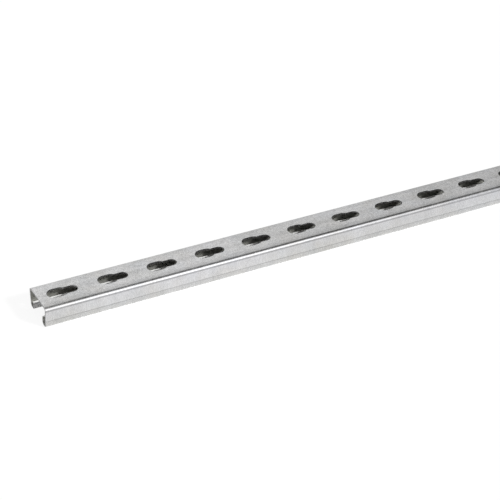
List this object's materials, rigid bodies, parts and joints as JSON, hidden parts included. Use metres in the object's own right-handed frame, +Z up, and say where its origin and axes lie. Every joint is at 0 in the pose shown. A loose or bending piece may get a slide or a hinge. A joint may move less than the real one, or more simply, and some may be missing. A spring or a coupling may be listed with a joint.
{
  "type": "strut channel",
  "caption": "Shallow roll-formed steel strut channel with inturned lips and a row of keyhole slots along the web.",
  "frame": {"origin": "middle of the length and of the width, level with the lips' undersides, which lie on the floor", "axes": "+X along the length, away from the end the wide parts of the keyholes point to; +Y across; +Z up, out of the web"},
  "size_m": [2, 0.041, 0.021],
  "materials": {
    "galvanised_steel": "pre-galvanised mill finish, smooth and softly reflective"
  },
  "bodies": {
    "root": {"strut_channel": "galvanised_steel"}
  },
  "joints": []
}
